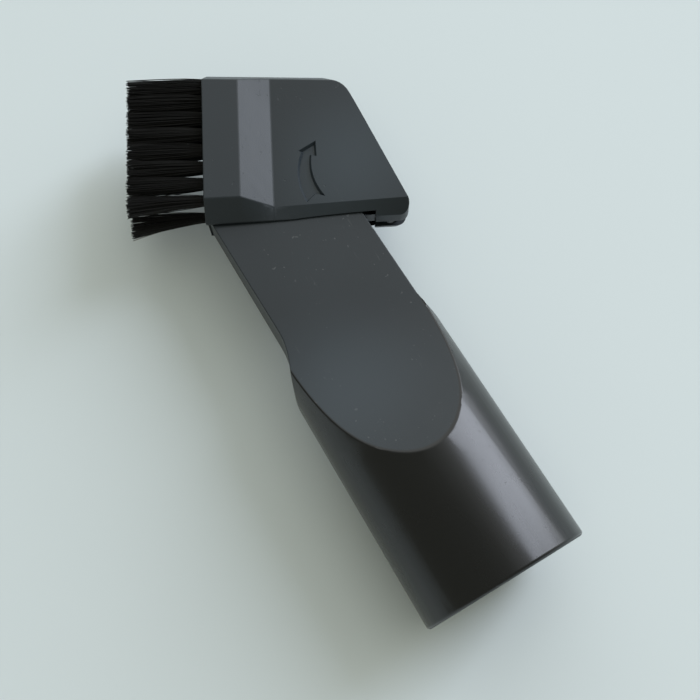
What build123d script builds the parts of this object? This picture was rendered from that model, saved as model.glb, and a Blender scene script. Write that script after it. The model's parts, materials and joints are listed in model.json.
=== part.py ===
"""A two-in-one vacuum tool: a round socket that flattens into a slanted crevice nozzle, with a brush head
that caps the nozzle and flips clockwise about a corner hinge to lie beside the tube.

The origin is the centre of the socket mouth. +Y runs along the tube towards the brush, +X is to the right
and +Z is up, square to the flat faces. The brush head has axes of its own, turned by mouth_angle about
the hinge: "across" runs away from the bristles and "along" runs with the lip. Lengths are in millimetres
and angles in degrees.
"""

from build123d import *
import os
from math import cos, radians, sin, tan

# Socket that slides over the wand
socket_bore = 32.0
socket_wall = 2.2
socket_depth = 26.0
socket_chamfer = 0.5
tube_taper = 0.8

# Scoop and flat nozzle
scoop_start = 28.4
scoop_angle = 27.5
scoop_blend = 70.0
neck_start = 49.8
left_neck = 17.0
right_neck = 9.0
nozzle_width = 28.8
nozzle_offset = 1.0
nozzle_length = 97.0
nozzle_tip_thickness = 8.8
nozzle_draft = 4.5
duct_wall = 2.0
mouth_angle = 28.0
mouth_depth = 2.1

# Hinge in the corner of the head
hinge_reach = 6.6
hinge_setback = 16.85
ear_thickness = 3.6
ear_width = 3.2
hub_diameter = 5.0
trunnion_diameter = 3.4
trunnion_length = 2.8
hinge_gap = 0.05
running_gap = 0.3

# Brush head, measured from the hinge
lip_reach = 39.6
lip_length = 7.8
lip_setback = 4.5
lip_thickness = 18.0
ramp_length = 6.9
face_thickness = 12.6
face_rise = 3.9
face_setback = 2.9
corner_reach = 4.9
knuckle_reach = 3.3
side_slant = 23.4
rim_below = 3.5
rim_thickness = 11.0
rear_rim_draft = 18.0
head_above = 34.8
end_slope = 31.8
end_taper = 3.9
top_corner_radius = 4.0
hook_radius = 2.0
ear_rise = 5.5
head_wall = 1.2
suction_slot = 5.8
suction_margin = 1.2

# Two planted rows of bristle tufts
tufts_per_row = 8
row_start = 2.8
row_end_margin = 5.4
row_spacing = 9.4
tuft_hole = 2.8
tuft_depth = 5.0
tuft_gap = 0.05
tuft_back_wall = 2.0
bristle_length = 16.5
tip_height = 4.8
tip_gap = 0.15
anchor_width = 3.2
anchor_thickness = 0.4
anchor_depth = 1.6

# Sizes that follow from those above
nozzle_left = nozzle_offset - nozzle_width / 2
nozzle_right = nozzle_offset + nozzle_width / 2
hinge_x = nozzle_right + hinge_reach
hinge_y = nozzle_length - hinge_setback
row_length = head_above - row_end_margin - row_start
tuft_pitch = row_length / (tufts_per_row - 1)
socket_radius = socket_bore / 2 + socket_wall
reach = 3 * socket_radius
across = Vector(cos(radians(mouth_angle)), -sin(radians(mouth_angle)), 0)
along = Vector(sin(radians(mouth_angle)), cos(radians(mouth_angle)), 0)
hinge = Vector(hinge_x, hinge_y, 0)
head_plan = Plane(origin=hinge, x_dir=across, z_dir=(0, 0, 1))
head_side = Plane(origin=hinge, x_dir=across, z_dir=-along)
socket_mouth = Plane(origin=(0, 0, 0), x_dir=(1, 0, 0), z_dir=(0, 1, 0))


def tube_radius(y):
    """Outer radius of the tapered tube at a distance y from the socket mouth."""
    return socket_radius - tan(radians(tube_taper)) * y


def nozzle_half(y):
    """Half the thickness of the flat nozzle at a distance y from the socket mouth."""
    return nozzle_tip_thickness / 2 + tan(radians(nozzle_draft)) * (nozzle_length - y)


def face_half(u):
    """Half the thickness of the head over its main face, at u across from the hinge."""
    foot = lip_length + ramp_length - lip_reach
    return face_thickness / 2 + tan(radians(face_rise)) * (u - foot)


def head_point(u, v):
    """The x and y of a point u across and v along from the hinge."""
    spot = hinge + across * u + along * v
    return (spot.X, spot.Y)


def section_plane(u):
    """The plane square to the head at u across from the hinge, facing the bristles."""
    return Plane(origin=hinge + across * u, x_dir=-along, z_dir=-across)


def nozzle_form(inset, start, beyond):
    """The tube and nozzle shrunk by inset, from y = start to beyond the mouth."""
    left_x = nozzle_left + inset
    right_x = nozzle_right - inset
    tip = nozzle_length + beyond
    far = tip + duct_wall
    slant = tan(radians(mouth_angle))
    mouth_x, mouth_y = head_point(0, mouth_depth)
    corner_y = mouth_y + (mouth_x - right_x) * slant
    corner = (right_x, corner_y + beyond)
    tip_corner = (right_x - (nozzle_length - corner_y) / slant, tip)
    fall = tan(radians(scoop_angle))
    draft = tan(radians(nozzle_draft))
    top = tube_radius(scoop_start) + fall * scoop_start
    flat = nozzle_half(0)
    knee_y = (top - flat) / (fall - draft)
    knee = (knee_y, nozzle_half(knee_y) - inset)
    scoop_top = ((top - reach) / fall, reach - inset)
    scoop_end = (far, nozzle_half(far) - inset)
    with BuildPart() as form:
        with BuildSketch():
            with BuildLine():
                Polyline(
                    (0, start),
                    (tube_radius(start) - inset, start),
                    (tube_radius(far) - inset, far),
                    (0, far),
                    close=True,
                )
            make_face()
        revolve(axis=Axis.Y)
        with BuildSketch():
            with BuildLine():
                shoulder = tube_radius(neck_start) - inset
                straight = ((0, 1), (0, 1))
                right = Spline((shoulder, neck_start), (right_x, neck_start + right_neck), tangents=straight)
                left = Spline((-shoulder, neck_start), (left_x, neck_start + left_neck), tangents=straight)
                Polyline(right @ 1, corner, tip_corner, (left_x, tip), left @ 1)
                Polyline(left @ 0, (-reach, scoop_start), (-reach, -reach), (reach, -reach))
                Polyline((reach, -reach), (reach, scoop_start), right @ 0)
            make_face()
        extrude(amount=reach, both=True, mode=Mode.INTERSECT)
        with BuildSketch(Plane.YZ):
            with BuildLine():
                upper = FilletPolyline(scoop_top, knee, scoop_end, radius=scoop_blend + inset)
                lower = mirror(upper, about=Plane.XZ)
                Polyline(upper @ 1, lower @ 1)
                Polyline(upper @ 0, (-reach, (upper @ 0).Y), (-reach, -(upper @ 0).Y), lower @ 0)
            make_face()
        extrude(amount=reach, both=True, mode=Mode.INTERSECT)
    return form.part


def head_form(inset):
    """The closed outer form of the brush head, shrunk by inset on every side."""
    rim_half = rim_thickness / 2
    rear_rim = rim_below - tan(radians(rear_rim_draft)) * rim_half
    slope = tan(radians(end_slope))
    taper = tan(radians(end_taper))
    slant = tan(radians(side_slant))
    foot = lip_length + ramp_length - lip_reach
    sections = (
        (-lip_reach, lip_thickness / 2, lip_setback),
        (lip_length - lip_reach, lip_thickness / 2, lip_setback),
        (foot, face_half(foot), face_setback),
        (corner_reach, face_half(corner_reach), face_setback),
    )
    with BuildPart() as form:
        for u, half, setback in sections:
            top = head_above - taper * (u + lip_reach)
            with BuildSketch(section_plane(u)):
                with BuildLine():
                    Polyline(
                        (rim_below, 0),
                        (rim_below, rim_half),
                        (rim_below - setback, half),
                        (slope * half - top, half),
                        (-top, 0),
                        (slope * half - top, -half),
                        (rear_rim - setback, -half),
                        (rear_rim, -rim_half),
                        close=True,
                    )
                make_face()
                if inset:
                    offset(amount=-inset, kind=Kind.INTERSECTION)
        loft(ruled=True)
        with BuildSketch(head_plan):
            with BuildLine():
                Polyline(
                    (-lip_reach, -rim_below),
                    (corner_reach, -rim_below),
                    (corner_reach - slant * (head_above + rim_below), head_above),
                    (-lip_reach, head_above),
                    close=True,
                )
            make_face()
            if inset:
                offset(amount=-inset, kind=Kind.INTERSECTION)
        extrude(amount=reach, both=True, mode=Mode.INTERSECT)
    return form.part


def nozzle_slot():
    """The wedge-shaped space in the head that the end of the nozzle sits in and swings out of."""
    left = -lip_reach - lip_length
    right = -knuckle_reach
    roof = mouth_depth + running_gap
    tip_y = nozzle_length + running_gap - hinge_y
    slant = tan(radians(mouth_angle))
    rise = cos(radians(mouth_angle))
    knee_u = (roof * rise - tip_y) / sin(radians(mouth_angle))
    with BuildPart() as slot:
        with BuildSketch(head_plan):
            with BuildLine():
                Polyline(
                    (left, -head_above),
                    (right, -head_above),
                    (right, roof),
                    (knee_u, roof),
                    (left, roof + (left - knee_u) * slant),
                    close=True,
                )
            make_face()
        extrude(amount=reach, both=True)
        with BuildSketch(head_side):
            with BuildLine():
                left_gap = nozzle_half(head_point(left, -rim_below)[1]) + running_gap
                right_gap = nozzle_half(head_point(right, -rim_below)[1]) + running_gap
                Polyline(
                    (left, left_gap),
                    (right, right_gap),
                    (right, -right_gap),
                    (left, -left_gap),
                    close=True,
                )
            make_face()
        extrude(amount=reach, both=True, mode=Mode.INTERSECT)
    return slot.part


def tuft_spots():
    """Each tuft's name with its place along the lip and its height."""
    spots = []
    for row, side in (("front", 1), ("rear", -1)):
        for number in range(tufts_per_row):
            place = row_start + number * tuft_pitch
            spots.append((f"{row}_tuft_{number + 1}", place, side * row_spacing / 2))
    return spots


outer_nozzle = nozzle_form(0, 0, 0)
inner_nozzle = nozzle_form(duct_wall, socket_depth / 2, nozzle_tip_thickness)
outer_head = head_form(0)
inner_head = head_form(head_wall)
seat_in_head = nozzle_slot()
lip_face = section_plane(-lip_reach)
hole_floor = section_plane(tuft_depth - lip_reach)

os.makedirs("parts", exist_ok=True)

# Socket, scoop and nozzle, with the hinge ear on its right wall
with BuildPart() as nozzle_body:
    add(outer_nozzle)
    add(inner_nozzle, mode=Mode.SUBTRACT)
    with BuildSketch(socket_mouth):
        Circle(socket_bore / 2)
    extrude(amount=socket_depth, mode=Mode.SUBTRACT)
    chamfer(nozzle_body.edges().group_by(Axis.Y)[0].sort_by(SortBy.RADIUS)[-1], length=socket_chamfer)
    with BuildSketch(head_plan):
        Circle(hub_diameter / 2)
        ear_length = (hinge_reach + duct_wall / 2) / cos(radians(mouth_angle))
        Rectangle(ear_length, ear_width, align=(Align.MAX, Align.CENTER))
    extrude(amount=ear_thickness / 2, both=True)
    with BuildSketch(head_plan):
        Circle(trunnion_diameter / 2)
    extrude(amount=ear_thickness / 2 + trunnion_length, both=True)
nozzle_body.part.label = "nozzle_body"
export_step(nozzle_body.part, "parts/nozzle_body.step")

# Flat wire anchors that hold the folded tufts at the bottom of their holes
with BuildPart() as tuft_anchors:
    with BuildSketch(hole_floor):
        with Locations(*[(-place, height) for name, place, height in tuft_spots()]):
            Rectangle(anchor_width, anchor_thickness)
    extrude(amount=anchor_depth)
tuft_anchors.part.label = "tuft_anchors"
export_step(tuft_anchors.part, "parts/tuft_anchors.step")

# Hollow inside of the head: all but the tuft block behind the lip and the ears round the hinge
with BuildPart() as head_hollow:
    add(inner_head)
    with BuildSketch(head_plan):
        with Locations((-lip_reach, head_above / 2)):
            Rectangle(2 * (tuft_depth + tuft_back_wall), 3 * head_above)
        with Locations((-knuckle_reach, ear_rise)):
            Rectangle(knuckle_reach + corner_reach, head_above, align=(Align.MIN, Align.MAX))
    extrude(amount=reach, both=True, mode=Mode.SUBTRACT)

# Brush head shell with its tuft holes, suction slot, nozzle seat and hinge recesses
with BuildPart() as brush_head:
    add(outer_head)
    upright = brush_head.edges().filter_by(lambda edge: edge.bounding_box().size.Z > rim_thickness / 3)
    fillet(upright.sort_by_distance(head_point(corner_reach, -rim_below))[0:2], radius=hook_radius)
    side_top = corner_reach - tan(radians(side_slant)) * (head_above + rim_below)
    sloping = brush_head.edges().filter_by(lambda edge: edge.bounding_box().size.Z > rim_thickness / 3)
    fillet(sloping.sort_by_distance(head_point(side_top, head_above))[0:2], radius=top_corner_radius)
    add(head_hollow.part, mode=Mode.SUBTRACT)
    add(seat_in_head, mode=Mode.SUBTRACT)
    with BuildSketch(hole_floor):
        with Locations(*[(-place, height) for name, place, height in tuft_spots()]):
            Circle(tuft_hole / 2)
    extrude(amount=tuft_depth, mode=Mode.SUBTRACT)
    with BuildSketch(lip_face):
        slot_length = row_length + tuft_hole - 2 * suction_margin
        with Locations((-row_start - row_length / 2, 0)):
            Rectangle(slot_length, suction_slot)
    extrude(amount=-(tuft_depth + tuft_back_wall), mode=Mode.SUBTRACT)
    with BuildSketch(head_plan):
        Circle(hinge_reach + running_gap)
    extrude(amount=ear_thickness / 2 + running_gap, both=True, mode=Mode.SUBTRACT)
    with BuildSketch(head_plan):
        Circle(trunnion_diameter / 2 + hinge_gap)
    extrude(amount=ear_thickness / 2 + trunnion_length + running_gap, both=True, mode=Mode.SUBTRACT)
    add(tuft_anchors.part, mode=Mode.SUBTRACT)
brush_head.part.label = "brush_head"
export_step(brush_head.part, "parts/brush_head.step")

# Bristle tufts: a round root folded over its anchor, flaring to a straight-cut tip
for name, place, height in tuft_spots():
    tip_face = section_plane(-lip_reach - bristle_length)
    with BuildPart() as tuft:
        with BuildSketch(hole_floor):
            with Locations((-place, height)):
                Circle(tuft_hole / 2 - tuft_gap)
        extrude(amount=tuft_depth)
        with BuildSketch(lip_face):
            with Locations((-place, height)):
                Circle(tuft_hole / 2 - tuft_gap)
        with BuildSketch(tip_face):
            with Locations((-place, height)):
                Ellipse((tuft_pitch - tip_gap) / 2, tip_height / 2)
        loft()
        add(tuft_anchors.part, mode=Mode.SUBTRACT)
    tuft.part.label = name
    export_step(tuft.part, f"parts/{name}.step")
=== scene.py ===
"""Looks of a two-in-one vacuum tool: satin black tube and nozzle, matte charcoal flip head, nylon bristles.

The frame is the solids' own: origin at the centre of the socket mouth, +Y along the tube towards the brush,
+Z square to the flat faces. Lengths are metres, and sizes named in millimetres are multiplied by MM.
"""

import json
import logging
import math
import random
from dataclasses import dataclass, field
from enum import Enum
from typing import Any, Dict, Iterable, List, Optional, Sequence, Tuple, Union

import bmesh
import bpy
from mathutils import Euler, Matrix, Vector
from mathutils.bvhtree import BVHTree


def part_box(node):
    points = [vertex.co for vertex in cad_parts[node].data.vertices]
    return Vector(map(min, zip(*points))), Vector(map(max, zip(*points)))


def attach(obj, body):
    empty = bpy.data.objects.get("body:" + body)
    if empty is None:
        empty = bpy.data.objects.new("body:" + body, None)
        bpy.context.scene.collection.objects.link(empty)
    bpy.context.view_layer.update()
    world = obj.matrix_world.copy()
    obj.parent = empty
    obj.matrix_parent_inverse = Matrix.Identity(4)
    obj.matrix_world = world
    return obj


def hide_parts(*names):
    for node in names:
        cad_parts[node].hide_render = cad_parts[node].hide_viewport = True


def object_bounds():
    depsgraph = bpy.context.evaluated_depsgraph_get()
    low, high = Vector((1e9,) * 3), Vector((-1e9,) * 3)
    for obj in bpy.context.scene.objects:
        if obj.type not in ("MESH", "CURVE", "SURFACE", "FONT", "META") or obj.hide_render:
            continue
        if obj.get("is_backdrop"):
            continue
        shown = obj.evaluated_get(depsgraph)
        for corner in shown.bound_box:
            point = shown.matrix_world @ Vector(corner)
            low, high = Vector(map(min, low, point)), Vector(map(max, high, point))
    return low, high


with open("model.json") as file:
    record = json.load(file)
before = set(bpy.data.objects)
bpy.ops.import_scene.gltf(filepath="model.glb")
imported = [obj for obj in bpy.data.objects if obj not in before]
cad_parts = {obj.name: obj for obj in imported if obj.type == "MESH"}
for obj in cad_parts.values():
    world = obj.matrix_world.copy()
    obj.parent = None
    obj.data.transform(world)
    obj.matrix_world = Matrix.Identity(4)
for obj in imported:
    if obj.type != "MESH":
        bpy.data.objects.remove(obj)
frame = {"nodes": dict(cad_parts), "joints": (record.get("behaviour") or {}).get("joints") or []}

MM = 0.001
LOG = logging.getLogger("vacuum_tool")

Colour = Tuple[float, float, float]
Place = Tuple[float, float, float]
Spot = Tuple[float, float]
Rise = Tuple[float, float]
Number = Union["Signal", float]

NOISE_ROUGHNESS = 0.55
MIX_SHARE, MIX_LOW, MIX_HIGH, MIX_RESULT = 0, 6, 7, 2
QUAD_CORNERS = 4
DOWN = Vector((0.0, 0.0, -1.0))


class Row(Enum):
    """The two planted rows of tufts, by the side of the head that they are on."""

    FRONT = 1
    REAR = -1


class Body(Enum):
    """The two bodies that the hinge joins."""

    NOZZLE = "nozzle"
    BRUSH = "brush"


class Slot(Enum):
    """The record's material slots; the shells keep one each, though nothing reads it."""

    TUBE = "tube_plastic"
    HEAD = "head_plastic"
    BRISTLE = "bristle"


@dataclass(frozen=True)
class Mottle:
    """A soft noise: the size of its blotches, how many finer layers it has, and a scale for each axis."""

    size: float
    detail: float
    stretch: Optional[Place] = None


def lift(height: float) -> Vector:
    """A step straight up."""
    return Vector((0.0, 0.0, height))


def between(ends: Tuple[float, float], share: float) -> float:
    """The value that lies a share of the way from the first end to the second."""
    return ends[0] * (1.0 - share) + ends[1] * share


def scaled(colour: Colour, gain: float) -> Colour:
    """A colour made brighter or darker."""
    red, green, blue = colour
    return gain * red, gain * green, gain * blue


class Signal:
    """A shader socket that takes part in Python arithmetic by adding Math nodes."""

    def __init__(self, graph: "Graph", socket: bpy.types.NodeSocket) -> None:
        """Wraps a socket of a graph."""
        self.graph = graph
        self.socket = socket

    def __add__(self, other: Number) -> "Signal":
        """Sum."""
        return self.graph.math("ADD", self, other)

    def __radd__(self, other: Number) -> "Signal":
        """Sum with a number on the left."""
        return self.graph.math("ADD", other, self)

    def __sub__(self, other: Number) -> "Signal":
        """Difference."""
        return self.graph.math("SUBTRACT", self, other)

    def __rsub__(self, other: Number) -> "Signal":
        """Difference from a number on the left."""
        return self.graph.math("SUBTRACT", other, self)

    def __mul__(self, other: Number) -> "Signal":
        """Product."""
        return self.graph.math("MULTIPLY", self, other)

    def __rmul__(self, other: Number) -> "Signal":
        """Product with a number on the left."""
        return self.graph.math("MULTIPLY", other, self)

    def __pow__(self, other: Number) -> "Signal":
        """Power."""
        return self.graph.math("POWER", self, other)

    def __rpow__(self, other: Number) -> "Signal":
        """Power of a number on the left."""
        return self.graph.math("POWER", other, self)

    def above(self, edge: float, softness: float) -> "Signal":
        """A mask that rises from 0 to 1 as the signal passes an edge.

        Args:
            edge: value at which the mask is one half.
            softness: width of the rise.

        Returns:
            The clamped mask.
        """
        return self.graph.signal(
            "ShaderNodeMapRange",
            {"interpolation_type": "SMOOTHSTEP"},
            {"Value": self, "From Min": edge - softness / 2, "From Max": edge + softness / 2},
        )


class Graph:
    """The node tree of one material or of the world, with short ways to add nodes."""

    def __init__(self, owner: Union[bpy.types.Material, bpy.types.World]) -> None:
        """Starts with an empty tree.

        Args:
            owner: the material or world that the tree belongs to.
        """
        self.owner = owner
        self.owner.use_nodes = True
        self.tree = self.owner.node_tree
        self.tree.nodes.clear()

    def node(
        self,
        kind: str,
        settings: Optional[Dict[str, Any]] = None,
        inputs: Optional[Dict[Union[str, int], Any]] = None,
    ) -> bpy.types.Node:
        """Adds a node, sets it up and fills its sockets.

        Args:
            kind: the node's type name.
            settings: the node's own settings, set first.
            inputs: values or signals by socket name or number.

        Returns:
            The new node.
        """
        made = self.tree.nodes.new(kind)
        for key, value in (settings or {}).items():
            setattr(made, key, value)
        for key, value in (inputs or {}).items():
            if isinstance(value, Signal):
                self.tree.links.new(value.socket, made.inputs[key])
            else:
                made.inputs[key].default_value = value
        return made

    def signal(
        self,
        kind: str,
        settings: Optional[Dict[str, Any]] = None,
        inputs: Optional[Dict[Union[str, int], Any]] = None,
        output: Union[str, int] = 0,
    ) -> Signal:
        """Adds a node and returns one of its outputs.

        Args:
            kind: the node's type name.
            settings: the node's own settings.
            inputs: values or signals by socket name or number.
            output: name or number of the output wanted.

        Returns:
            The output as a signal.
        """
        return Signal(self, self.node(kind, settings, inputs).outputs[output])

    def math(self, operation: str, first: Number, second: Number) -> Signal:
        """Adds one Math node.

        Args:
            operation: the Math node's operation.
            first: left operand.
            second: right operand.

        Returns:
            The result.
        """
        return self.signal("ShaderNodeMath", {"operation": operation}, {0: first, 1: second})

    def place(self) -> Signal:
        """The point on the surface, in the solids' frame."""
        return self.signal("ShaderNodeTexCoord", output="Object")

    def stretched(self, scale: Sequence[float]) -> Signal:
        """The point on the surface with each axis scaled, for drawn-out textures."""
        return self.signal("ShaderNodeMapping", None, {"Vector": self.place(), "Scale": tuple(scale)})

    def noise(self, mottle: Mottle) -> Signal:
        """Soft noise between 0 and 1.

        Args:
            mottle: its size, detail and stretch.

        Returns:
            The noise value.
        """
        place = self.stretched(mottle.stretch) if mottle.stretch else self.place()
        return self.signal(
            "ShaderNodeTexNoise",
            None,
            {
                "Vector": place,
                "Scale": 1.0 / mottle.size,
                "Detail": mottle.detail,
                "Roughness": NOISE_ROUGHNESS,
            },
        )

    def mix(self, share: Number, low: Union[Signal, Colour], high: Union[Signal, Colour]) -> Signal:
        """Blends two colours.

        Args:
            share: 0 gives low and 1 gives high.
            low: first colour.
            high: second colour.

        Returns:
            The blended colour.
        """
        ends = [end if isinstance(end, Signal) else (*end, 1.0) for end in (low, high)]
        inputs = {MIX_SHARE: share, MIX_LOW: ends[0], MIX_HIGH: ends[1]}
        return self.signal("ShaderNodeMix", {"data_type": "RGBA"}, inputs, MIX_RESULT)

    def bump(self, height: Signal, depth: float) -> Signal:
        """Turns a height into a surface normal.

        Args:
            height: height between 0 and 1.
            depth: how far 0 and 1 are apart, in metres.

        Returns:
            The normal.
        """
        return self.signal("ShaderNodeBump", None, {"Height": height, "Distance": depth})

    def finish(self, **sockets: Any) -> bpy.types.Material:
        """Adds the surface shader and returns the material.

        Args:
            sockets: the shader's sockets, with underscores for spaces.

        Returns:
            The finished material.
        """
        inputs = {key.replace("_", " "): value for key, value in sockets.items()}
        shader = self.signal("ShaderNodeBsdfPrincipled", None, inputs)
        self.node("ShaderNodeOutputMaterial", None, {"Surface": shader})
        return self.owner


@dataclass(frozen=True)
class MouldedPlastic:
    """Injection-moulded plastic with a fine matte grain, faint flow marks, a few pale specks and one round
    paler patch that is painted sheen.

    Each rise is the noise value at which a mark is half there, and the width over which it comes.
    """

    name: str
    colour: Colour
    worn_colour: Colour
    roughness: float
    roughness_spread: float
    grain: Mottle
    grain_depth: float
    scuff_share: float
    # The next four fields place a round paler patch: painted sheen, standing in for light reflected off the
    # face.
    painted_sheen_spot: Place
    painted_sheen_reach: float
    painted_sheen_gain: float = 2.2
    painted_sheen_share: float = 0.85
    broad_share: float = 0.15
    cloud: Mottle = Mottle(16.0 * MM, 4.0)
    broad: Mottle = Mottle(30.0 * MM, 1.0)
    flow: Mottle = Mottle(5.0 * MM, 3.0, (1.0, 0.25, 1.0))
    speck: Mottle = Mottle(1.0 * MM, 1.0)
    scratch: Mottle = Mottle(0.5 * MM, 2.0, (1.0, 0.06, 1.0))
    patch_rise: Rise = (0.52, 0.14)
    broad_rise: Rise = (0.5, 0.4)
    speck_rise: Rise = (0.735, 0.03)
    scratch_rise: Rise = (0.70, 0.05)
    scratch_share: float = 0.4
    scuff_roughness: float = 0.2
    flow_relief: float = 0.35
    speck_relief: float = 2.0
    refraction: float = 1.49
    polished_colour: Colour = (0.0, 0.0, 0.0)
    polished_roughness: float = 0.0
    polished_smoothing: float = 0.85

    def polish(self, graph: Graph) -> Number:
        """How far the mould was polished, which is nowhere on a matte piece."""
        return 0.0

    def material(self) -> bpy.types.Material:
        """Builds the plastic.

        Returns:
            The material.
        """
        graph = Graph(bpy.data.materials.new(self.name))
        cloud = graph.noise(self.cloud)
        broad = graph.noise(self.broad)
        flow = graph.noise(self.flow)
        grain = graph.noise(self.grain)
        speck = graph.noise(self.speck).above(*self.speck_rise)
        scratch = graph.noise(self.scratch).above(*self.scratch_rise)
        patch = cloud.above(*self.patch_rise)
        scuff = (speck + scratch * self.scratch_share) * patch * self.scuff_share
        # Painted sheen: the colour is made paler in a round patch about a given spot, standing in for light
        # reflected off the face; a faint random broad mottle adds to it.
        away = graph.signal(
            "ShaderNodeVectorMath",
            {"operation": "DISTANCE"},
            {0: graph.place(), 1: self.painted_sheen_spot},
            "Value",
        )
        painted_sheen = 1.0 - away.above(self.painted_sheen_reach / 2, self.painted_sheen_reach)
        paler = painted_sheen * self.painted_sheen_share + broad.above(*self.broad_rise) * self.broad_share
        tone = graph.mix(paler, self.colour, scaled(self.colour, self.painted_sheen_gain))
        matte = graph.mix(scuff, tone, self.worn_colour)
        rough = self.roughness + (flow + broad - 1.0) * self.roughness_spread + scuff * self.scuff_roughness
        relief = grain + flow * self.flow_relief - speck * patch * self.speck_relief
        shine = self.polish(graph)
        if isinstance(shine, Signal):
            matte = graph.mix(shine, matte, self.polished_colour)
            rough = rough - shine * (self.roughness - self.polished_roughness)
            relief = relief * (1.0 - shine * self.polished_smoothing)
        return graph.finish(
            Base_Color=matte,
            Roughness=rough,
            Normal=graph.bump(relief, self.grain_depth),
            IOR=self.refraction,
        )


@dataclass(frozen=True)
class TubePlastic(MouldedPlastic):
    """The tube's plastic, polished on the round socket and matte on the scoop and the flat nozzle."""

    mouth_radius: float = 18.2 * MM
    taper: float = math.radians(0.8)
    skin: float = 0.30 * MM

    def polish(self, graph: Graph) -> Number:
        """Marks the round outside of the tube by its distance from the tube's axis.

        Args:
            graph: the material's graph.

        Returns:
            A mask that is 1 on the round outside.
        """
        parts = graph.node("ShaderNodeSeparateXYZ", None, {"Vector": graph.place()})
        across, along, up = (Signal(graph, socket) for socket in parts.outputs)
        radius = (across * across + up * up) ** 0.5
        wall = self.mouth_radius - along * math.tan(self.taper)
        return (radius - wall).above(-self.skin, self.skin)


@dataclass(frozen=True)
class Nylon:
    """Extruded nylon bristle, black with a faint sheen along its length."""

    name: str
    colour: Colour
    roughness: float
    sheen: float
    strand: Mottle = Mottle(0.35 * MM, 2.0)
    strand_gain: float = 2.2
    strand_roughness: float = 0.25
    strand_middle: float = 0.5
    refraction: float = 1.53

    def material(self) -> bpy.types.Material:
        """Builds the bristle finish.

        Returns:
            The material.
        """
        graph = Graph(bpy.data.materials.new(self.name))
        strand = graph.noise(self.strand)
        colour = graph.mix(strand, self.colour, scaled(self.colour, self.strand_gain))
        rough = self.roughness + (strand - self.strand_middle) * self.strand_roughness
        return graph.finish(
            Base_Color=colour,
            Roughness=rough,
            IOR=self.refraction,
            Specular_IOR_Level=self.sheen,
        )


@dataclass(frozen=True)
class FlatWire:
    """Drawn steel wire with fine marks along its length."""

    name: str
    colour: Colour
    roughness: float
    drawn: Mottle = Mottle(0.15 * MM, 2.0, (1.0, 0.1, 1.0))
    drawn_depth: float = 0.01 * MM
    drawn_roughness: float = 0.2
    dull: Mottle = Mottle(1.5 * MM, 3.0)
    dull_gain: float = 0.6

    def material(self) -> bpy.types.Material:
        """Builds the wire finish.

        Returns:
            The material.
        """
        graph = Graph(bpy.data.materials.new(self.name))
        drawn = graph.noise(self.drawn)
        dull = graph.noise(self.dull)
        colour = graph.mix(dull, self.colour, scaled(self.colour, self.dull_gain))
        rough = self.roughness + drawn * self.drawn_roughness
        return graph.finish(
            Base_Color=colour,
            Roughness=rough,
            Metallic=1.0,
            Normal=graph.bump(drawn, self.drawn_depth),
        )


@dataclass(frozen=True)
class TableTop:
    """Pale, slightly mottled table surface."""

    name: str
    colour: Colour
    roughness: float
    cloud: Mottle = Mottle(140.0 * MM, 2.0)
    cloud_gain: float = 0.97

    def material(self) -> bpy.types.Material:
        """Builds the table finish.

        Returns:
            The material.
        """
        graph = Graph(bpy.data.materials.new(self.name))
        cloud = graph.noise(self.cloud)
        colour = graph.mix(cloud, self.colour, scaled(self.colour, self.cloud_gain))
        return graph.finish(Base_Color=colour, Roughness=self.roughness, Specular_IOR_Level=0.0)


TUBE_PLASTIC = TubePlastic(
    name="tube_plastic",
    colour=(0.0145, 0.0195, 0.024),
    worn_colour=(0.16, 0.17, 0.175),
    roughness=0.46,
    roughness_spread=0.10,
    grain=Mottle(0.30 * MM, 3.0),
    grain_depth=0.010 * MM,
    scuff_share=0.28,
    # Centre and reach of the painted sheen patch on the scoop.
    painted_sheen_spot=(-8.0 * MM, 49.0 * MM, 7.0 * MM),
    painted_sheen_reach=24.0 * MM,
    polished_colour=(0.006, 0.0065, 0.007),
    polished_roughness=0.27,
)
HEAD_PLASTIC = MouldedPlastic(
    name="head_plastic",
    colour=(0.0140, 0.0195, 0.0245),
    worn_colour=(0.15, 0.16, 0.165),
    roughness=0.46,
    roughness_spread=0.08,
    grain=Mottle(0.22 * MM, 3.0),
    grain_depth=0.014 * MM,
    scuff_share=0.05,
    # Centre and reach of the painted sheen patch on the head's face.
    painted_sheen_spot=(19.0 * MM, 92.0 * MM, 8.0 * MM),
    painted_sheen_reach=21.0 * MM,
)
BRISTLE_NYLON = Nylon(name="bristle_nylon", colour=(0.0028, 0.0028, 0.003), roughness=0.50, sheen=0.25)
ANCHOR_WIRE = FlatWire(name="anchor_wire", colour=(0.62, 0.61, 0.58), roughness=0.32)
TABLE = TableTop(name="table_top", colour=(0.645, 0.705, 0.725), roughness=0.60)


def mesh_object(name: str, mesh: bpy.types.Mesh, material: bpy.types.Material) -> bpy.types.Object:
    """Links a mesh into the scene with one material.

    Args:
        name: the piece's name.
        mesh: its mesh.
        material: its finish.

    Returns:
        The new object.
    """
    mesh.materials.clear()
    mesh.materials.append(material)
    made = bpy.data.objects.new(name, mesh)
    bpy.context.scene.collection.objects.link(made)
    return made


def settle(piece: bpy.types.Object, body: Body, nodes: Iterable[str]) -> bpy.types.Object:
    """Makes a piece ride on its body and stand for its nodes.

    Args:
        piece: the piece.
        body: the body that carries it.
        nodes: the solids that it stands for.

    Returns:
        The piece.
    """
    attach(piece, body.value)
    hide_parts(*nodes)
    LOG.info("piece %s on %s, %d faces", piece.name, body.value, len(piece.data.polygons))
    return piece


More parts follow.
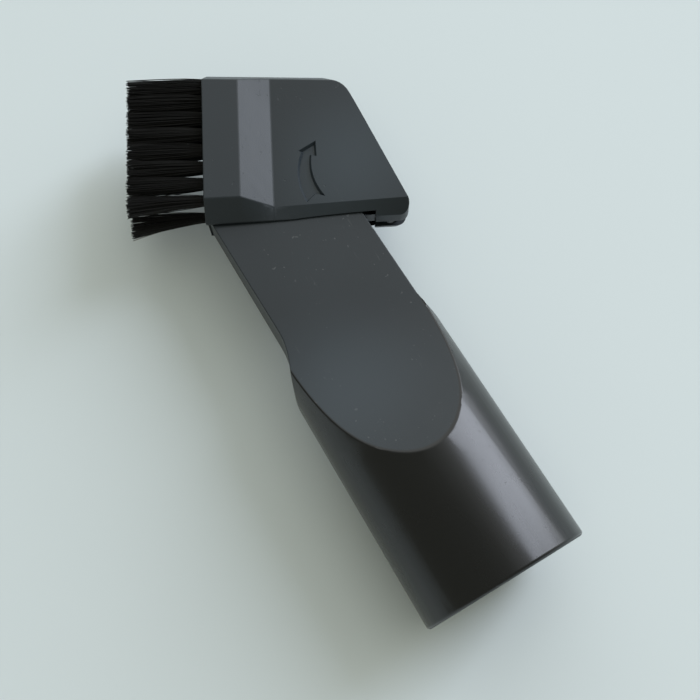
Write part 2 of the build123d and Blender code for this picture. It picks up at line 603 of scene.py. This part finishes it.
@dataclass
class HeadAxes:
    """The brush head's own axes: across, away from the bristles, and along, with the lip."""

    turn: float = math.radians(28.0)
    hinge: Vector = field(init=False)
    across: Vector = field(init=False)
    along: Vector = field(init=False)

    def __post_init__(self) -> None:
        """Takes the hinge from the frame and works out the two directions."""
        self.hinge = Vector(frame["joints"][0]["pos_m"])
        self.across = Vector((math.cos(self.turn), -math.sin(self.turn), 0.0))
        self.along = Vector((math.sin(self.turn), math.cos(self.turn), 0.0))

    def point(self, u: float, v: float, z: float) -> Vector:
        """A point u across, v along and z up from the hinge, all in metres."""
        return self.hinge + self.across * u + self.along * v + lift(z)

    def measure(self, spot: Vector) -> Tuple[float, float]:
        """How far across and along a point lies from the hinge."""
        arm = spot - self.hinge
        return arm.dot(self.across), arm.dot(self.along)


def carve(mesh: bpy.types.Mesh, tool: bpy.types.Mesh) -> bpy.types.Mesh:
    """Cuts one closed mesh out of another.

    Args:
        mesh: mesh that is cut.
        tool: mesh that is taken away.

    Returns:
        The cut mesh.
    """
    block = bpy.data.objects.new("block", mesh)
    cutter = bpy.data.objects.new("cutter", tool)
    for part in (block, cutter):
        bpy.context.scene.collection.objects.link(part)
    cut = block.modifiers.new("cut", "BOOLEAN")
    cut.operation = "DIFFERENCE"
    cut.solver = "EXACT"
    cut.object = cutter
    ready = bpy.context.evaluated_depsgraph_get()
    carved = bpy.data.meshes.new_from_object(block.evaluated_get(ready))
    for part in (block, cutter):
        bpy.data.objects.remove(part)
    return carved


@dataclass
class MouldedShell:
    """A moulded piece made from a solid of the frame, with its sharp edges softened."""

    node: str
    name: str
    body: Body
    slot: Slot
    finish: MouldedPlastic
    edge_radius: float = 0.25 * MM
    edge_steps: int = 3
    edge_profile: float = 0.5
    edge_room: float = 2.0
    edge_angle: float = math.radians(12.0)
    crease_angle: float = math.radians(36.0)
    flat_angle: float = math.radians(0.3)
    weld_reach: float = 0.002 * MM
    sideways: float = 0.8
    crisp_spot: Optional[Vector] = None
    crisp_reach: float = 9.0 * MM

    def is_crisp(self, edge: bmesh.types.BMEdge) -> bool:
        """Tells whether an edge lies in the fine corner that keeps its plain edges.

        Args:
            edge: the edge that would be rounded.

        Returns:
            True where it stays plain.
        """
        if self.crisp_spot is None:
            return False
        return all((end.co - self.crisp_spot).xy.length < self.crisp_reach for end in edge.verts)

    def has_room(self, edge: bmesh.types.BMEdge) -> bool:
        """Tells whether no very short edge leaves either end of an edge sideways.

        Args:
            edge: the edge that would be rounded.

        Returns:
            True where a rounding fits.
        """
        run = (edge.verts[1].co - edge.verts[0].co).normalized()
        room = self.edge_room * self.edge_radius
        for end in edge.verts:
            for other in end.link_edges:
                way = other.other_vert(end).co - end.co
                if abs(way.normalized().dot(run)) < self.sideways and way.length < room:
                    return False
        return True

    def edges_with_room(self, soft: bmesh.types.BMesh) -> List[bmesh.types.BMEdge]:
        """Picks the sharp edges that have room for a rounding.

        Args:
            soft: the mesh.

        Returns:
            Its sharp edges with no very short edge beside them.
        """
        picked = []
        for edge in soft.edges:
            if len(edge.link_faces) != 2 or edge.calc_face_angle(0.0) < self.edge_angle:
                continue
            if not self.is_crisp(edge) and self.has_room(edge):
                picked.append(edge)
        return picked

    def shape(self) -> bpy.types.Mesh:
        """Copies the solid's mesh, joins its flat facets and rounds its edges.

        Returns:
            The softened mesh.
        """
        soft = bmesh.new()
        soft.from_mesh(frame["nodes"][self.node].data)
        bmesh.ops.remove_doubles(soft, verts=soft.verts[:], dist=self.weld_reach)
        bmesh.ops.dissolve_limit(soft, angle_limit=self.flat_angle, verts=soft.verts[:], edges=soft.edges[:])
        rounded = self.edges_with_room(soft)
        for edge in soft.edges:
            edge.smooth = edge.calc_face_angle(0.0) < self.edge_angle
        for edge in rounded:
            edge.smooth = True
        bmesh.ops.bevel(
            soft,
            geom=rounded,
            offset=self.edge_radius,
            segments=self.edge_steps,
            profile=self.edge_profile,
            affect="EDGES",
            clamp_overlap=False,
        )
        bmesh.ops.recalc_face_normals(soft, faces=soft.faces[:])
        mesh = bpy.data.meshes.new(self.name)
        soft.to_mesh(mesh)
        soft.free()
        return mesh

    def crease(self, mesh: bpy.types.Mesh) -> None:
        """Shades the faces smoothly, with a crease at each edge that is still sharp.

        Args:
            mesh: mesh to be shaded.
        """
        shaded = bmesh.new()
        shaded.from_mesh(mesh)
        for side in shaded.faces:
            side.smooth = True
        for edge in shaded.edges:
            if edge.calc_face_angle(0.0) > self.crease_angle:
                edge.smooth = False
        shaded.to_mesh(mesh)
        shaded.free()

    def build(self) -> bpy.types.Object:
        """Makes the piece and settles it on its body.

        Returns:
            The finished piece.
        """
        mesh = self.shape()
        self.crease(mesh)
        piece = mesh_object(self.name, mesh, self.finish.material())
        even = piece.modifiers.new("even_faces", "WEIGHTED_NORMAL")
        even.keep_sharp = True
        return settle(piece, self.body, [self.node])


@dataclass
class ArrowMark:
    """The curved arrow sunk into the head's face, which shows the way that the head flips.

    Its corners are in millimetres across and along from the hinge, and each long edge is a start,
    a point that pulls the curve, and an end. The draft is how far its walls lean in at the bottom,
    in millimetres too.
    """

    axes: HeadAxes
    depth: float = 0.75 * MM
    draft: float = 0.42
    above: float = 0.50 * MM
    steps: int = 14
    corner_floor: float = 0.35
    ray_height: float = 50.0 * MM
    tip: Spot = (-15.4, 14.1)
    left_barb: Spot = (-19.2, 12.0)
    right_barb: Spot = (-15.3, 10.4)
    left_edge: Tuple[Spot, Spot, Spot] = ((-18.6, 11.6), (-20.9, 5.8), (-17.8, -0.15))
    right_edge: Tuple[Spot, Spot, Spot] = ((-16.4, 10.7), (-17.2, 5.8), (-13.9, 1.05))
    tail_notch: Spot = (-16.0, 1.6)

    def curve(self, edge: Tuple[Spot, Spot, Spot]) -> List[Spot]:
        """Points along a long edge.

        Args:
            edge: its start, pull and end.

        Returns:
            The points from start to end.
        """
        start, pull, end = (Vector(spot) for spot in edge)
        points = []
        for step in range(self.steps + 1):
            share = step / self.steps
            spot = start * (1 - share) ** 2 + pull * 2 * share * (1 - share) + end * share**2
            points.append((spot.x, spot.y))
        return points

    def outline(self) -> List[Spot]:
        """Joins the arrow's corners and curves.

        Returns:
            The corners in order, anticlockwise.
        """
        left = self.curve(self.left_edge)
        right = self.curve(self.right_edge)
        return [self.tip, self.left_barb, *left, self.tail_notch, *reversed(right), self.right_barb]

    def shifted(self, outline: Sequence[Spot], inward: float) -> List[Spot]:
        """Moves an outline's sides inwards.

        Args:
            outline: its corners, anticlockwise.
            inward: how far the sides move, in millimetres.

        Returns:
            The moved corners.
        """
        moved = []
        for number, corner in enumerate(outline):
            here = Vector(corner)
            before = (here - Vector(outline[number - 1])).normalized()
            after = (Vector(outline[(number + 1) % len(outline)]) - here).normalized()
            first, second = Vector((-before.y, before.x)), Vector((-after.y, after.x))
            spread = max(self.corner_floor, 1.0 + first.dot(second))
            spot = here + (first + second) * (inward / spread)
            moved.append((spot.x, spot.y))
        return moved

    def cutter(self, face: bpy.types.Mesh) -> bpy.types.Mesh:
        """Makes the block that sinks the arrow into a face.

        Args:
            face: mesh of the head.

        Returns:
            The block's mesh.
        """
        rests = BVHTree.FromPolygons(
            [corner.co for corner in face.vertices], [list(side.vertices) for side in face.polygons]
        )
        block = bmesh.new()
        rings = []
        for level in (-self.depth, self.above):
            outline = self.shifted(self.outline(), -self.draft * level / self.depth)
            ring = []
            for u, v in outline:
                over = self.axes.point(u * MM, v * MM, self.ray_height)
                spot = rests.ray_cast(over, DOWN)[0]
                ring.append(block.verts.new(spot + lift(level)))
            rings.append(ring)
        low, high = rings
        count = len(low)
        for number in range(count):
            after = (number + 1) % count
            block.faces.new((low[number], low[after], high[after], high[number]))
        block.faces.new(high)
        block.faces.new(list(reversed(low)))
        bmesh.ops.triangulate(block, faces=[side for side in block.faces if len(side.verts) > QUAD_CORNERS])
        bmesh.ops.recalc_face_normals(block, faces=block.faces[:])
        mesh = bpy.data.meshes.new("arrow_cutter")
        block.to_mesh(mesh)
        block.free()
        return mesh


@dataclass
class HeadShell(MouldedShell):
    """The flip head's shell, with the arrow sunk into its upper face."""

    arrow: Optional[ArrowMark] = None

    def shape(self) -> bpy.types.Mesh:
        """Softens the shell's edges, then sinks the arrow.

        Returns:
            The finished mesh.
        """
        mesh = super().shape()
        if self.arrow is None:
            return mesh
        carved = carve(mesh, self.arrow.cutter(mesh))
        carved.name = self.name
        return carved


@dataclass(frozen=True)
class TuftForm:
    """The measured form of one tuft, in metres across, along and up from the hinge."""

    middle_v: float
    height: float
    pushed: float
    root: float
    flare: float
    tip_along: float
    lip_u: float
    tip_u: float


@dataclass
class Bristles:
    """The planted tufts, each a bundle of separate nylon bristles."""

    axes: HeadAxes
    finish: Nylon
    strands: int = 130
    strand_radius: float = 0.095 * MM
    taper: float = 0.25
    sides: int = 5
    steps: int = 6
    rooted: float = 3.0 * MM
    root_spread: Tuple[float, float] = (0.95 * MM, 1.32 * MM)
    flare: Tuple[float, float] = (0.90, 0.14)
    root_push: float = 0.45 * MM
    front_gain: float = 0.4 * MM
    rear_gain: float = 1.2 * MM
    tip_along: Tuple[float, float] = (2.05 * MM, 2.35 * MM)
    tip_up: float = 2.25 * MM
    ragged: float = 0.45 * MM
    wander: float = 0.12 * MM
    stray_share: float = 0.03
    stray_reach: float = 1.5 * MM
    stray_short: float = 0.2
    bend_power: float = 1.6
    splay: float = 1.35 * MM
    splay_fade: float = 0.35
    front_splay: float = 0.55
    side_hold: float = 0.5
    sharp_angle: float = math.radians(60.0)
    seed: int = 41
    seed_step: int = 100

    def strand(self, mesh: bmesh.types.BMesh, path: Sequence[Vector]) -> None:
        """Adds one closed bristle along a path.

        Args:
            mesh: mesh that it goes into.
            path: its centre line from root to tip.
        """
        rings: List[List[bmesh.types.BMVert]] = []
        for number, spot in enumerate(path):
            radius = self.strand_radius * (1.0 - self.taper * number / (len(path) - 1))
            ring = []
            for side in range(self.sides):
                angle = math.tau * side / self.sides
                offset = self.axes.along * math.cos(angle) + lift(math.sin(angle))
                ring.append(mesh.verts.new(spot + offset * radius))
            rings.append(ring)
        for low, high in zip(rings, rings[1:]):
            for side in range(self.sides):
                after = (side + 1) % self.sides
                mesh.faces.new((low[side], low[after], high[after], high[side]))
        mesh.faces.new(list(reversed(rings[0])))
        mesh.faces.new(rings[-1])

    def lean(self, row: Row, number: int) -> float:
        """How far the tips of a tuft are pushed towards the hinge end, which wears first."""
        share = 1.0 if row is Row.REAR else self.front_splay
        return -self.splay * share * self.splay_fade ** (number - 1)

    def form(self, row: Row, number: int, place: float, lip_u: float, tip_u: float) -> TuftForm:
        """Measures where the bristles of one tuft go, in the place of its solid.

        Args:
            row: the row that it is in.
            number: its number in the row, from the hinge end.
            place: 0 for the tuft at the hinge end and 1 for the one at the far end.
            lip_u: place of the lip's face, across from the hinge.
            tip_u: place of the solids' tips, across from the hinge.

        Returns:
            The tuft's form.
        """
        node = self.node(row, number)
        low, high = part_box(node)
        gain = self.front_gain if row is Row.FRONT else self.rear_gain
        return TuftForm(
            middle_v=self.middle(node) - self.root_push * self.splay_fade ** (number - 1),
            height=(low.z + high.z) / 2,
            pushed=self.lean(row, number),
            root=between(self.root_spread, place),
            flare=between(self.flare, place),
            tip_along=between(self.tip_along, place),
            lip_u=lip_u,
            tip_u=tip_u - gain,
        )

    def path(self, form: TuftForm, draw: random.Random) -> List[Vector]:
        """Draws the centre line of one bristle.

        Args:
            form: the tuft that it belongs to.
            draw: the tuft's random numbers.

        Returns:
            The line's points from root to tip.
        """
        angle = draw.uniform(0.0, math.tau)
        reach = math.sqrt(draw.random())
        side, up = reach * math.cos(angle), reach * math.sin(angle)
        stray = self.stray_reach if draw.random() < self.stray_share else 0.0
        held = form.pushed * (1.0 - self.side_hold * side)
        lean_v = draw.gauss(held, self.wander) + stray * draw.uniform(-1.0, 1.0)
        lean_z = draw.gauss(0.0, self.wander) + stray * draw.uniform(-1.0, 1.0)
        end_u = form.tip_u + draw.uniform(0.0, self.ragged) + stray * self.stray_short
        bow = draw.gauss(0.0, self.wander)
        points = []
        for step in range(self.steps + 1):
            u = between((form.lip_u + self.rooted, end_u), step / self.steps)
            out = max(0.0, (form.lip_u - u) / (form.lip_u - form.tip_u))
            opened = out**form.flare
            spread_v = form.root + (form.tip_along - form.root) * opened
            spread_z = form.root + (self.tip_up - form.root) * opened
            bend = out**self.bend_power
            v = form.middle_v + side * spread_v + lean_v * bend + bow * math.sin(math.pi * out)
            z = form.height + up * spread_z + lean_z * bend
            points.append(self.axes.point(u, v, z))
        return points

    def tuft(self, form: TuftForm, seed: int) -> bmesh.types.BMesh:
        """Makes the bristles of one tuft.

        Args:
            form: where they go.
            seed: start of the tuft's random numbers.

        Returns:
            The bristles.
        """
        draw = random.Random(seed)
        mesh = bmesh.new()
        for _ in range(self.strands):
            self.strand(mesh, self.path(form, draw))
        return mesh

    def node(self, row: Row, number: int) -> str:
        """The name of a tuft's solid."""
        return f"{row.name.lower()}_tuft_{number}"

    def middle(self, node: str) -> float:
        """Where a tuft's solid lies along the lip."""
        spots = [self.axes.measure(corner.co)[1] for corner in frame["nodes"][node].data.vertices]
        return (min(spots) + max(spots)) / 2

    def build(self) -> List[bpy.types.Object]:
        """Makes every tuft and settles it on the brush.

        Returns:
            The tufts.
        """
        material = self.finish.material()
        count = sum(name.startswith("front_tuft_") for name in frame["nodes"])
        head = frame["nodes"]["brush_head"].data.vertices
        first = frame["nodes"][self.node(Row.FRONT, 1)].data.vertices
        lip_u = min(self.axes.measure(corner.co)[0] for corner in head)
        tip_u = min(self.axes.measure(corner.co)[0] for corner in first)
        made = []
        for row in Row:
            for number in range(1, count + 1):
                node = self.node(row, number)
                form = self.form(row, number, (number - 1) / (count - 1), lip_u, tip_u)
                bundle = self.tuft(form, self.seed + self.seed_step * number + row.value)
                mesh = bpy.data.meshes.new(node)
                bundle.to_mesh(mesh)
                bundle.free()
                mesh.shade_smooth()
                mesh.set_sharp_from_angle(angle=self.sharp_angle)
                piece = mesh_object(f"{node}_bristles", mesh, material)
                made.append(settle(piece, Body.BRUSH, [node]))
        return made


@dataclass
class WireAnchors:
    """The flat wires that hold the tufts, which keep the shape of their solids."""

    node: str
    finish: FlatWire

    def build(self) -> bpy.types.Object:
        """Gives the solids their wire finish.

        Returns:
            The solids' object.
        """
        piece = frame["nodes"][self.node]
        piece.data.materials.clear()
        piece.data.materials.append(self.finish.material())
        LOG.info("piece %s keeps its solids, %d faces", self.node, len(piece.data.polygons))
        return piece


@dataclass
class Studio:
    """Table, camera and soft window light, with the camera's turn in degrees."""

    camera_place: Place = (-35.134 * MM, -0.691 * MM, 233.223 * MM)
    camera_turn: Place = (16.0057, 0.3279, -30.9906)
    focal_length: float = 59.154
    sensor: float = 36.0
    clip_near: float = 0.005
    clip_far: float = 50.0
    table_reach: float = 4.0
    table_parts: int = 8
    window_aim: Place = (0.0, 60.0 * MM, 0.0)
    window_bearing: float = math.radians(9.0)
    window_rise: float = math.radians(31.0)
    window_reach: float = 2.0
    window_width: float = 0.62
    window_height: float = 1.8
    window_power: float = 30.0
    window_colour: Colour = (0.81, 0.87, 1.0)
    pale_bearing: float = math.radians(40.0)
    pale_rise: Rise = (0.42, 0.9)
    pale_side: Colour = (1.46, 1.50, 1.46)
    dim_side: Colour = (0.265, 0.27, 0.225)
    fill_height: float = 1.6
    fill_size: float = 1.6
    fill_power: float = 4.8
    fill_colour: Colour = (1.0, 1.0, 0.84)

    def camera(self) -> None:
        """Adds the camera at the photograph's view."""
        lens = bpy.data.cameras.new("camera")
        lens.lens = self.focal_length
        lens.sensor_width = self.sensor
        lens.clip_start = self.clip_near
        lens.clip_end = self.clip_far
        seat = bpy.data.objects.new("camera", lens)
        turn = Euler([math.radians(angle) for angle in self.camera_turn], "XYZ")
        seat.matrix_world = Matrix.Translation(self.camera_place) @ turn.to_matrix().to_4x4()
        bpy.context.scene.collection.objects.link(seat)
        bpy.context.scene.camera = seat

    def table(self, level: float) -> None:
        """Lays the table under the tool.

        Args:
            level: height of its surface.
        """
        flat = bmesh.new()
        bmesh.ops.create_grid(
            flat, x_segments=self.table_parts, y_segments=self.table_parts, size=self.table_reach
        )
        mesh = bpy.data.meshes.new("table")
        flat.to_mesh(mesh)
        flat.free()
        top = mesh_object("table", mesh, TABLE.material())
        top.location.z = level
        top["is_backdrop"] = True

    def window(self) -> None:
        """Adds the broad window light from the right of the tool."""
        flat = math.cos(self.window_rise)
        ahead = Vector((math.cos(self.window_bearing), math.sin(self.window_bearing), 0.0))
        toward = ahead * flat + lift(math.sin(self.window_rise))
        glass = bpy.data.lights.new("window", "AREA")
        glass.shape = "RECTANGLE"
        glass.size = self.window_width
        glass.size_y = self.window_height
        glass.energy = self.window_power
        glass.color = self.window_colour
        seat = bpy.data.objects.new("window", glass)
        seat.location = Vector(self.window_aim) + toward * self.window_reach
        seat.rotation_euler = toward.to_track_quat("Z", "Y").to_euler()
        bpy.context.scene.collection.objects.link(seat)

    def fill(self) -> None:
        """Adds the soft overhead light that lifts the shadows without showing in the gloss."""
        panel = bpy.data.lights.new("fill", "AREA")
        panel.size = self.fill_size
        panel.energy = self.fill_power
        panel.color = self.fill_colour
        seat = bpy.data.objects.new("fill", panel)
        seat.location.z = self.fill_height
        seat.visible_glossy = False
        bpy.context.scene.collection.objects.link(seat)

    def room(self) -> None:
        """Sets the even light of the room, with pale walls by the window and dim ones across from it."""
        world = bpy.data.worlds.new("room")
        graph = Graph(world)
        toward = graph.signal("ShaderNodeTexCoord", output="Generated")
        parts = graph.node("ShaderNodeSeparateXYZ", None, {"Vector": toward})
        right, ahead = (Signal(graph, socket) for socket in parts.outputs[:2])
        side = right * math.cos(self.pale_bearing) + ahead * math.sin(self.pale_bearing)
        colour = graph.mix(side.above(*self.pale_rise), self.dim_side, self.pale_side)
        light = graph.signal("ShaderNodeBackground", None, {"Color": colour})
        graph.node("ShaderNodeOutputWorld", None, {"Surface": light})
        bpy.context.scene.world = world

    def build(self, level: float) -> None:
        """Sets up everything round the tool.

        Args:
            level: height of the table's surface.
        """
        bpy.context.scene.view_settings.view_transform = "Standard"
        self.camera()
        self.table(level)
        self.window()
        self.fill()
        self.room()


def main() -> None:
    """Builds the tool's pieces in order, then the studio."""
    logging.basicConfig(level=logging.INFO)
    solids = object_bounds()
    axes = HeadAxes()
    MouldedShell("nozzle_body", "nozzle_shell", Body.NOZZLE, Slot.TUBE, TUBE_PLASTIC).build()
    HeadShell(
        "brush_head",
        "head_shell",
        Body.BRUSH,
        Slot.HEAD,
        HEAD_PLASTIC,
        crisp_spot=axes.hinge,
        arrow=ArrowMark(axes),
    ).build()
    Bristles(axes, BRISTLE_NYLON).build()
    WireAnchors("tuft_anchors", ANCHOR_WIRE).build()
    Studio().build(solids[0].z)


if __name__ == "__main__":
    main()
